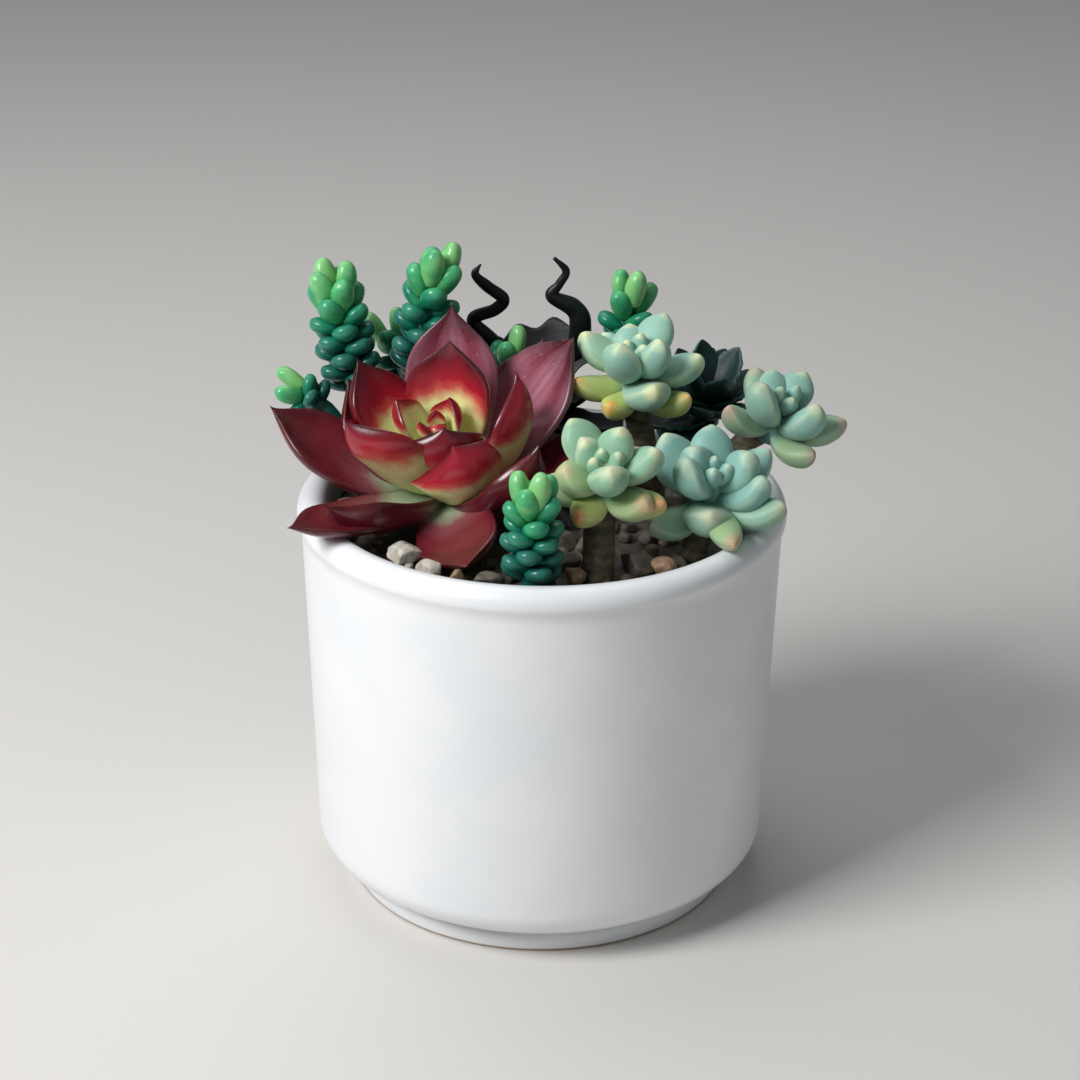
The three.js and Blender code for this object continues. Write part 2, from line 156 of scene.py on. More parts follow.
# One fleshy leaf: a sphere whose poles become base and tip, pushed into the leaf's form.
def addLeaf(mesh, kind, base, tip, face, width, age=0.0, tone=0.5):
    ball = bmesh.ops.create_uvsphere(mesh, u_segments=kind["around"], v_segments=kind["rings"], radius=1)
    along = tip - base
    length = along.length
    chord = along.normalized()
    face = (face - chord * face.dot(chord)).normalized()
    face = Matrix.Rotation(math.radians(kind.get("roll", 0)), 3, chord) @ face
    across = face.cross(chord)
    bow, sway, cup, thick = kind["bow"], kind.get("sway", 0), kind["cup"], kind["thick"]
    alongMark, rimMark, underMark, ageMark, toneMark = markLayers(mesh)
    for vert in ball["verts"]:
        x, y, z = vert.co
        reach = math.hypot(x, y)
        x, y = (x / reach, y / reach) if reach > 1e-6 else (0, 0)
        x = math.copysign(abs(x) ** kind["plump"], x)
        y = math.copysign(abs(y) ** kind["plump"], y)
        t = (1 + z) / 2
        bend, slope = 4 * t * (1 - t), 4 * (1 - 2 * t)
        centre = base + along * t - face * (bow * bend) + across * (sway * bend)
        run = (chord * length - face * (bow * slope) + across * (sway * slope)).normalized()
        side = face.cross(run).normalized()
        up = run.cross(side)
        share = leafShare(t, kind)
        half = 0.5 * width * share * (1 + kind["edge"](t, x))
        fat = thick * share ** 0.7 * (0.4 if y > 0 else 0.6)
        keel = kind["keel"] * ease(0.55, 1, t) * (1 - abs(x)) * share if y < 0 else 0
        dish = kind["dish"] * share * ease(0.05, 0.5, t) * max(0, y) * (1 - x * x)
        rise = y * fat + cup * share * x * x - keel - dish
        place = centre + side * (half * x) + up * rise
        drift = noise.noise(place * kind["grain"] + Vector((tone * 40, 0, 0)))
        place += (side * x + up * y) * drift * kind["wobble"] * min(1, share * 2)
        vert.co = place
        vert[alongMark], vert[rimMark], vert[underMark] = t, abs(x), 0.5 - 0.5 * y
        vert[ageMark], vert[toneMark] = age, tone


# A round bar along a smooth way, for stems and curling tips.
def addBar(mesh, points, radii, around, rings, flat=1.0, wobble=0.0, age=0.0):
    ring = bmesh.ops.create_circle(mesh, cap_ends=True, segments=around, radius=1)["verts"]
    verts = list(ring)
    edges = list({e for v in ring for e in v.link_edges})
    for _ in range(rings):
        grown = bmesh.ops.extrude_edge_only(mesh, edges=edges)["geom"]
        edges = [g for g in grown if isinstance(g, bmesh.types.BMEdge) and g.is_boundary]
        ring = [g for g in grown if isinstance(g, bmesh.types.BMVert)]
        bmesh.ops.translate(mesh, verts=ring, vec=(0, 0, 1 / rings))
        verts += ring
    bmesh.ops.edgeloop_fill(mesh, edges=edges)
    along, rim, under, ageMark, toneMark = markLayers(mesh)
    for vert in verts:
        x, y, z = vert.co
        share = min(1, max(0, z))
        point, run = wayPoint(points, share)
        side = Vector((0, 1, 0)).cross(run).normalized()
        up = run.cross(side)
        radius = radiusAt(radii, share)
        place = point + side * (radius * x) + up * (radius * y * flat)
        if wobble:
            outward = side * x + up * y
            scars = math.sin(share * 34 + 2 * noise.noise(place * 0.3)) ** 8
            place += outward * wobble * (noise.noise(place * 0.6) - 0.35 * scars)
        vert.co = place
        vert[along], vert[rim], vert[under] = share, abs(x), 0.5 - 0.5 * y
        vert[ageMark], vert[toneMark] = age, 0.5


# Leaves round a heart. Turn runs from the right through the back, lean opens from the axis.
def addRosette(mesh, plant, kind, leaves, marks):
    up, right, back = bearings(plant["axis"])
    heart = Vector(plant["heart"])
    addBar(mesh, [heart - up * plant["depth"], heart], [plant["core"], plant["core"] * 0.4], 20, 6)
    for i, (turn, lean, length, drop, width, extra) in enumerate(leaves):
        angle, spread = math.radians(turn), math.radians(lean)
        out = right * math.cos(angle) + back * math.sin(angle)
        way = up * math.cos(spread) + out * math.sin(spread)
        base = heart - up * drop
        addLeaf(mesh, {**kind, **extra}, base, base + way * length, up, width, *marks(i))


# Pot: semi-matt white glaze over a thrown stoneware body.

pot = {
    "height": 100.3, "rimRadius": 59.1, "lipRadius": 3.8, "bodyTop": 58.0, "bodyLow": 55.6,
    "cornerRadius": 7.7, "footRadius": 47.2, "footHeight": 4.2, "floor": 8.0, "steps": 144,
    "glaze": "#eceeef", "clay": "#b79a80", "roughness": 0.36,
}


def glazedStoneware():
    # Stoneware dipped in a satin white glaze: soft wide highlights, a faint wheel wave, a foot of bare clay.
    material, tree, shader = startMaterial("glazedStoneware")
    place = addNode(tree, "TexCoord")
    spread = addNode(tree, "TexNoise", {"Scale": 1000 / 26, "Detail": 2.0},
                     {"Vector": place.outputs["Object"]})
    tint = addNode(tree, "ValToRGB", {"stops": [(0.35, "#e6e9eb"), (0.65, pot["glaze"])]},
                   {"Fac": spread.outputs[0]})
    split = addNode(tree, "SeparateXYZ", {}, {"Vector": place.outputs["Object"]})
    bare = addNode(tree, "MapRange", {"From Min": 0.0009, "From Max": 0.0004}, {"Value": split.outputs["Z"]})
    colour = addNode(tree, "Mix", {"data_type": "RGBA", 7: toLinear(pot["clay"])},
                     {0: bare.outputs[0], 6: tint.outputs[0]})
    rough = addNode(tree, "MapRange", {"To Min": pot["roughness"], "To Max": 0.8}, {"Value": bare.outputs[0]})
    wheel = addNode(tree, "Mapping", {"Scale": (18, 18, 1000 / 9)}, {"Vector": place.outputs["Object"]})
    wave = addNode(tree, "TexNoise", {"Scale": 1.0, "Detail": 1.0}, {"Vector": wheel.outputs[0]})
    bump = addNode(tree, "Bump", {"Strength": 0.12, "Distance": 0.0005}, {"Height": wave.outputs[0]})
    tree.links.new(colour.outputs[2], shader.inputs["Base Color"])
    tree.links.new(rough.outputs[0], shader.inputs["Roughness"])
    tree.links.new(bump.outputs[0], shader.inputs["Normal"])
    shader.inputs["IOR"].default_value = 1.5
    shader.inputs["Coat Weight"].default_value = 0.25
    shader.inputs["Coat Roughness"].default_value = 0.25
    return material


def potProfile():
    foot, low, corner = pot["footRadius"], pot["bodyLow"], pot["cornerRadius"]
    points = [(0, 0.6), (foot - 6, 0.6), (foot - 5.2, 0), (foot - 0.8, 0), (foot - 0.2, 0.3), (foot, 0.9)]
    points += [(foot, pot["footHeight"] - 0.3), (foot - 0.4, pot["footHeight"] + 0.2)]
    points += [(foot - 0.9, pot["footHeight"] + 0.6)]
    for turn in range(-70, 3, 8):
        angle = math.radians(turn)
        points.append((low - corner + corner * math.cos(angle), 14.5 + corner * math.sin(angle)))
    points += [(mix(low, pot["bodyTop"], s), mix(16, pot["height"] - 9.5, s)) for s in (0.15, 0.4, 0.7, 0.95)]
    points += [(pot["bodyTop"], pot["height"] - 8.6), (pot["bodyTop"] + 0.15, pot["height"] - 6.3)]
    lip = pot["rimRadius"] - pot["lipRadius"]
    for turn in range(-20, 176, 12):
        angle = math.radians(turn)
        points.append((lip + pot["lipRadius"] * math.cos(angle),
                       pot["height"] + pot["lipRadius"] * (math.sin(angle) - 1)))
    inner = pot["rimRadius"] - 2 * pot["lipRadius"]
    points += [(inner, pot["height"] - 6), (inner, pot["height"] - 30), (inner, pot["floor"] + 7)]
    points += [(inner - 2, pot["floor"] + 2), (inner - 7, pot["floor"]), (0, pot["floor"])]
    return points


def makePot():
    mesh = bmesh.new()
    verts = [mesh.verts.new((r, 0, z)) for r, z in potProfile()]
    edges = [mesh.edges.new(pair) for pair in zip(verts, verts[1:])]
    bmesh.ops.spin(mesh, geom=verts + edges, cent=(0, 0, 0), axis=(0, 0, 1), angle=2 * math.pi,
                   steps=pot["steps"], use_merge=True, use_duplicate=False)
    bmesh.ops.remove_doubles(mesh, verts=mesh.verts, dist=0.001)
    bmesh.ops.dissolve_degenerate(mesh, edges=mesh.edges, dist=0.0005)
    bmesh.ops.recalc_face_normals(mesh, faces=mesh.faces)
    return finishPiece(mesh, "glazedPot", glazedStoneware(), ["pot"])


# Filling: dark potting soil under a layer of grit and mixed pebbles.

filling = {
    "soilTop": 91.5, "gravelTop": 93.6, "radius": 51.2, "seed": 7, "scattered": 120,
    "stoneSizes": (1.8, 4.8), "paleStemRoom": 3.8, "sprigRoom": 2,
    # Other places without stones: x, y, radius. The last is under the main plant's low leaves.
    "clearings": [(-21, 10, 4.5), (-3, 43.5, 4), (34, 26, 3.4), (-22, -14, 15)],
}
# Stones that show at the front edge: x, y, half size, height, tone from pale to brown.
frontStones = [
    (-31.8, -28.2, 4.3, 96.0, 0.03), (-25.6, -35.0, 3.7, 95.5, 0.08), (-19.3, -38.6, 2.0, 95.4, 0.78),
    (-12.5, -40.5, 4.6, 94.9, 0.4), (-31.0, -33.6, 1.7, 95.2, 0.1), (7.6, -38.5, 3.2, 95.8, 0.8),
    (28.0, -34.5, 3.9, 95.9, 0.92), (22.5, -30.0, 5.2, 95.2, 0.42), (5.0, -30.0, 4.6, 94.9, 0.5),
    (32.0, -29.5, 3.2, 95.0, 0.6), (-47.0, 2.0, 3.2, 95.6, 0.85), (-6.5, -35.0, 3.4, 94.8, 0.6),
]


def quartzGravel():
    # Crushed quartzite and river stones: dull broken faces, each stone its own grey, tan or brown.
    material, tree, shader = startMaterial("quartzGravel")
    place = addNode(tree, "TexCoord")
    tone = addNode(tree, "Attribute", {"attribute_name": "tone"})
    stone = addNode(tree, "ValToRGB", {"stops": [(0.0, "#d2ccc0"), (0.15, "#b3aa9a"), (0.35, "#635d51"),
                                                 (0.62, "#4a453c"), (0.8, "#a3876a"), (1.0, "#94765a")]},
                    {"Fac": tone.outputs["Fac"]})
    mottle = addNode(tree, "TexNoise", {"Scale": 1000 / 2.2, "Detail": 4.0},
                     {"Vector": place.outputs["Object"]})
    patch = addNode(tree, "ValToRGB", {"stops": [(0.3, "#8c8278"), (0.62, "#ffffff")]},
                    {"Fac": mottle.outputs[0]})
    colour = addNode(tree, "Mix", {"data_type": "RGBA", "blend_type": "MULTIPLY", 0: 0.7},
                     {6: stone.outputs[0], 7: patch.outputs[0]})
    grit = addNode(tree, "TexNoise", {"Scale": 1000 / 0.8, "Detail": 3.0},
                   {"Vector": place.outputs["Object"]})
    bump = addNode(tree, "Bump", {"Strength": 0.35, "Distance": 0.0004}, {"Height": grit.outputs[0]})
    tree.links.new(colour.outputs[2], shader.inputs["Base Color"])
    tree.links.new(bump.outputs[0], shader.inputs["Normal"])
    shader.inputs["Roughness"].default_value = 0.62
    return material


def pottingSoil():
    # Peat and bark compost: almost black, crumbly and quite without shine.
    material, tree, shader = startMaterial("pottingSoil")
    place = addNode(tree, "TexCoord")
    crumb = addNode(tree, "TexVoronoi", {"Scale": 1000 / 1.6}, {"Vector": place.outputs["Object"]})
    colour = addNode(tree, "ValToRGB", {"stops": [(0.0, "#3a2f27"), (0.7, "#1c1713")]},
                     {"Fac": crumb.outputs[0]})
    bump = addNode(tree, "Bump", {"Strength": 0.8, "Distance": 0.0006}, {"Height": crumb.outputs[0]})
    tree.links.new(colour.outputs[0], shader.inputs["Base Color"])
    tree.links.new(bump.outputs[0], shader.inputs["Normal"])
    shader.inputs["Roughness"].default_value = 0.95
    return material


# A broken stone: a ball pressed flat against a few random planes.
def addStone(mesh, x, y, z, size, tone, draw, fine):
    ball = bmesh.ops.create_icosphere(mesh, subdivisions=fine, radius=1)
    toneMark = mesh.verts.layers.float["tone"]
    planes = []
    for _ in range(7):
        normal = Vector((draw.gauss(0, 1), draw.gauss(0, 1), draw.gauss(0, 1))).normalized()
        planes.append((normal, draw.uniform(0.55, 0.85)))
    stretch = Vector((draw.uniform(0.85, 1.2), draw.uniform(0.6, 0.95), draw.uniform(0.5, 0.8)))
    turn = Matrix.Rotation(draw.uniform(0, 6.28), 3, "Z") @ Matrix.Rotation(draw.uniform(-0.5, 0.5), 3, "X")
    for vert in ball["verts"]:
        place = vert.co.copy()
        for normal, depth in planes:
            over = place.dot(normal) - depth
            if over > 0:
                place -= normal * over * 0.93
        place = turn @ Vector((place.x * stretch.x, place.y * stretch.y, place.z * stretch.z))
        place *= size * (1 + 0.06 * noise.noise(place * 3 + Vector((x, y, 0))))
        vert.co = place + Vector((x, y, z))
        vert[toneMark] = tone


def makeGravel(stems):
    material = quartzGravel()
    bed = startMesh()
    rings = 26
    profile = [(0, filling["soilTop"] + 0.3), (filling["radius"], filling["soilTop"] + 0.3)]
    profile += [(filling["radius"] * (1 - i / rings), filling["gravelTop"] - 0.5) for i in range(rings + 1)]
    verts = [bed.verts.new((r, 0, z)) for r, z in profile]
    edges = [bed.edges.new(pair) for pair in zip(verts, verts[1:])]
    bmesh.ops.spin(bed, geom=verts + edges, cent=(0, 0, 0), axis=(0, 0, 1), angle=2 * math.pi, steps=96,
                   use_merge=True, use_duplicate=False)
    bmesh.ops.remove_doubles(bed, verts=bed.verts, dist=0.001)
    bmesh.ops.recalc_face_normals(bed, faces=bed.faces)
    toneMark = bed.verts.layers.float["tone"]
    for vert in bed.verts:
        if vert.co.z > filling["soilTop"] + 1:
            vert.co.z += 0.8 * noise.noise(vert.co * 0.55) + 0.5 * noise.noise(vert.co * 1.6)
        vert[toneMark] = 0.5 + 0.3 * noise.noise(vert.co * 0.4)
    finishPiece(bed, "gritBed", material, ["gravel"])

    stones = startMesh()
    draw = random.Random(filling["seed"])
    placed = [(x, y, size) for x, y, size, _, _ in frontStones]
    for x, y, size, z, tone in frontStones:
        addStone(stones, x, y, z, size, tone, draw, 4)
    tries = 0
    while len(placed) < filling["scattered"] and tries < 6000:
        tries += 1
        size = mix(*filling["stoneSizes"], draw.random() ** 1.4)
        reach = (filling["radius"] - size - 0.8) * math.sqrt(draw.random())
        angle = draw.uniform(0, 2 * math.pi)
        x, y = reach * math.cos(angle), reach * math.sin(angle)
        if any(math.hypot(px - x, py - y) < 0.78 * (ps + size) for px, py, ps in placed):
            continue
        if any(math.hypot(sx - x, sy - y) < radius + 0.7 * size for sx, sy, radius in stems):
            continue
        placed.append((x, y, size))
        tone = draw.random() if draw.random() < 0.25 else draw.uniform(0.3, 0.66)
        addStone(stones, x, y, filling["gravelTop"] + 0.2 * size, size, tone, draw, 3)
    return finishPiece(stones, "pebbles", material, ["gravel"])


# Main plant: red echeveria.

echeveria = {
    "heart": (-25, -4, 118.8), "axis": (-0.06, -0.22, 0.97), "core": 5.5, "depth": 24,
    "stem": [(-21, 10, 76), (-21.3, 9.6, 92), (-23.7, 0.86, 97.4)], "stemRadii": [4.2, 4.2, 4.6],
    "young": [(0.0, "#cddb8a"), (0.43, "#e0e29c"), (0.53, "#c9564e"), (0.6, "#ab1c2d"), (0.74, "#8c1a2a"),
              (0.9, "#661a26"), (1.0, "#541a24")],
    "mature": [(0.0, "#8fa88a"), (0.28, "#9cab8b"), (0.42, "#884a52"), (0.6, "#74252f"), (0.88, "#6c1e29"),
               (1.0, "#8c333a")],
    "mauve": [(0.0, "#8d9f84"), (0.3, "#8b5560"), (0.55, "#954e60"), (0.85, "#853a4b"), (1.0, "#6a1c2c")],
    # How much further out than usual the red of a young leaf starts.
    "lateRed": {10: 0.1, 11: 0.08, 12: 0.2, 13: 0.2, 14: 0.2, 15: 0.32, 16: 0.28, 17: 0.1, 18: 0.3, 19: 0.3},
}
redLeaf = {
    "thick": 4.8, "bow": 5, "cup": 2.4, "root": 0.5, "widest": 0.56, "belly": 3.4, "point": 2.0,
    "around": 40, "rings": 34, "keel": 1.3, "dish": 1.2, "grain": 0.09, "wobble": 0.5, "plump": 0.78,
    "edge": lambda t, x: 0,
}
outerLeaf = {"bow": 6, "cup": 2}
heartLeaf = {"thick": 3.4, "bow": 2, "keel": 0.5, "dish": 0.6, "around": 28, "rings": 24, "wobble": 0.2}
innermostLeaf = {**heartLeaf, "thick": 2.6, "bow": 0.5, "cup": 0.3}
echeveriaLeaves = [
    (168, 62, 47.1, 20, 22, {"bow": 5, "cup": 2}), (141, 51, 36.8, 20, 20, outerLeaf),
    (82, 37, 45.9, 20, 23, outerLeaf), (46, 54, 45.5, 20, 20, outerLeaf),
    (30, 52, 48.5, 19, 27, {"bow": 5, "cup": 1.5, "point": 1.5, "sway": 1.4}),
    (2, 69, 44.1, 20, 20, outerLeaf),
    (333, 49, 36.5, 21.5, 17, {"bow": 8, "cup": 1.5, "roll": -28, "thick": 5.5}),
    (280, 81.5, 40.4, 18.8, 20,
     {"bow": 1.2, "cup": 1.5, "roll": 14, "widest": 0.64, "point": 1.2, "belly": 2.6}),
    (227, 64, 41.5, 20.5, 17, {"cup": 3, "roll": 28}),
    (226, 71, 51.5, 19.5, 15, {"bow": 2, "cup": 1, "thick": 3.4, "roll": -2}),
    (142, 42, 35.9, 16, 19, {}), (73, 23, 33.7, 15, 21, {"bow": 3}),
    (201, 39, 35.7, 19.5, 24, {"cup": 6, "roll": 25, "bow": 3}),
    (13, 34, 35.4, 17.6, 18, {"cup": 4, "roll": -32, "bow": 9}),
    (288, 30, 25.2, 19, 26, {"bow": 7, "cup": 8, "roll": 5, "sway": 2.8}),
    (166, 32, 18.6, 9, 12, heartLeaf), (45, 17, 15.5, 9, 10, heartLeaf),
    (284, 25, 22.4, 14.4, 22, {**heartLeaf, "bow": 4, "cup": 4, "sway": -0.5}),
    (221, 28, 10.9, 6, 4.5, innermostLeaf), (103, 4, 10, 6, 4.5, innermostLeaf),
]


def waxyRedLeaf():
    # Echeveria skin: a thin wax over wet flesh. It glows a little, shines softly and has a few pale specks;
    # the mauve outer leaves carry painted pale sheen streaks.
    material, tree, shader = startMaterial("waxyRedLeaf")
    place = addNode(tree, "TexCoord")
    along = addNode(tree, "Attribute", {"attribute_name": "along"})
    rim = addNode(tree, "Attribute", {"attribute_name": "rim"})
    age = addNode(tree, "Attribute", {"attribute_name": "age"})
    late = addNode(tree, "Attribute", {"attribute_name": "tone"})
    cloud = addNode(tree, "TexNoise", {"Scale": 1000 / 9, "Detail": 3.0}, {"Vector": place.outputs["Object"]})
    drift = addNode(tree, "MapRange", {"To Min": -0.07, "To Max": 0.07, "From Min": 0.25, "From Max": 0.75},
                    {"Value": cloud.outputs[0]})
    edge = addNode(tree, "MapRange", {"From Min": 0.3, "To Max": 0.13}, {"Value": rim.outputs["Fac"]})
    shifted = addNode(tree, "Math", {"operation": "ADD"}, {0: along.outputs["Fac"], 1: drift.outputs[0]})
    edged = addNode(tree, "Math", {"operation": "ADD"}, {0: shifted.outputs[0], 1: edge.outputs[0]})
    reach = addNode(tree, "Math", {"operation": "SUBTRACT"}, {0: edged.outputs[0], 1: late.outputs["Fac"]})
    young = addNode(tree, "ValToRGB", {"stops": echeveria["young"]}, {"Fac": reach.outputs[0]})
    mature = addNode(tree, "ValToRGB", {"stops": echeveria["mature"]}, {"Fac": reach.outputs[0]})
    mauve = addNode(tree, "ValToRGB", {"stops": echeveria["mauve"]}, {"Fac": reach.outputs[0]})
    older = addNode(tree, "MapRange", {"From Min": 0.1, "From Max": 0.5}, {"Value": age.outputs["Fac"]})
    pinker = addNode(tree, "MapRange", {"From Min": 0.6, "From Max": 1.0}, {"Value": age.outputs["Fac"]})
    first = addNode(tree, "Mix", {"data_type": "RGBA"},
                    {0: older.outputs[0], 6: young.outputs[0], 7: mature.outputs[0]})
    # Painted sheen: pale highlight streaks along the mauve outer leaves, mixed into their colour.
    grown = addNode(tree, "CombineXYZ", {}, {"X": rim.outputs["Fac"], "Y": along.outputs["Fac"],
                                             "Z": age.outputs["Fac"]})
    drawn = addNode(tree, "Mapping", {"Scale": (2.6, 1.3, 9)}, {"Vector": grown.outputs[0]})
    streak = addNode(tree, "TexNoise", {"Scale": 1.0, "Detail": 2.0, "Distortion": 0.6},
                     {"Vector": drawn.outputs[0]})
    sheenStreaks = addNode(tree, "MapRange", {"From Min": 0.4, "From Max": 0.68, "To Max": 0.42},
                    {"Value": streak.outputs[0]})
    mauveSheened = addNode(tree, "Mix", {"data_type": "RGBA", 7: toLinear("#c79aa6")},
                    {0: sheenStreaks.outputs[0], 6: mauve.outputs[0]})
    second = addNode(tree, "Mix", {"data_type": "RGBA"},
                     {0: pinker.outputs[0], 6: first.outputs[2], 7: mauveSheened.outputs[2]})
    side = addNode(tree, "MapRange", {"From Min": 0.74, "From Max": 1.0, "To Max": 0.6},
                   {"Value": rim.outputs["Fac"]})
    end = addNode(tree, "MapRange", {"From Min": 0.78, "From Max": 1.06, "To Max": 0.95},
                  {"Value": reach.outputs[0]})
    dark = addNode(tree, "Math", {"operation": "MAXIMUM"}, {0: side.outputs[0], 1: end.outputs[0]})
    burnt = addNode(tree, "Mix", {"data_type": "RGBA", "blend_type": "MULTIPLY", 7: toLinear("#7a4a4e")},
                    {0: dark.outputs[0], 6: second.outputs[2]})
    speck = addNode(tree, "TexVoronoi", {"Scale": 1000 / 3.4}, {"Vector": place.outputs["Object"]})
    dot = addNode(tree, "MapRange", {"From Min": 0.075, "From Max": 0.045, "To Max": 0.4},
                  {"Value": speck.outputs[0]})
    oldDot = addNode(tree, "Math", {"operation": "MULTIPLY"}, {0: dot.outputs[0], 1: age.outputs["Fac"]})
    dusted = addNode(tree, "Mix", {"data_type": "RGBA", 7: toLinear("#d8b9ac")},
                     {0: oldDot.outputs[0], 6: burnt.outputs[2]})
    skin = addNode(tree, "TexNoise", {"Scale": 1000 / 1.4, "Detail": 4.0},
                   {"Vector": place.outputs["Object"]})
    rough = addNode(tree, "MapRange", {"To Min": 0.22, "To Max": 0.36}, {"Value": skin.outputs[0]})
    bump = addNode(tree, "Bump", {"Strength": 0.12, "Distance": 0.0004}, {"Height": skin.outputs[0]})
    tree.links.new(dusted.outputs[2], shader.inputs["Base Color"])
    tree.links.new(rough.outputs[0], shader.inputs["Roughness"])
    tree.links.new(bump.outputs[0], shader.inputs["Normal"])
    shader.inputs["IOR"].default_value = 1.45
    shader.inputs["Subsurface Weight"].default_value = 0.12
    shader.inputs["Subsurface Radius"].default_value = (1.0, 0.35, 0.2)
    shader.inputs["Subsurface Scale"].default_value = 0.0025
    shader.inputs["Coat Weight"].default_value = 0.35
    shader.inputs["Coat Roughness"].default_value = 0.18
    return material


def makeEcheveria():
    mesh = startMesh()

    def marks(i):
        age = 1.0 if i in (2, 3, 4) else 0.55 if i < 10 else 0.0
        return age, echeveria["lateRed"].get(i, 0)

    addRosette(mesh, echeveria, redLeaf, echeveriaLeaves, marks)
    addBar(mesh, echeveria["stem"], echeveria["stemRadii"], 20, 10, age=0.55)
    return finishPiece(mesh, "echeveriaRosette", waxyRedLeaf(), ["echeveria_rosette"])


# Four pale rosettes on bare stems.

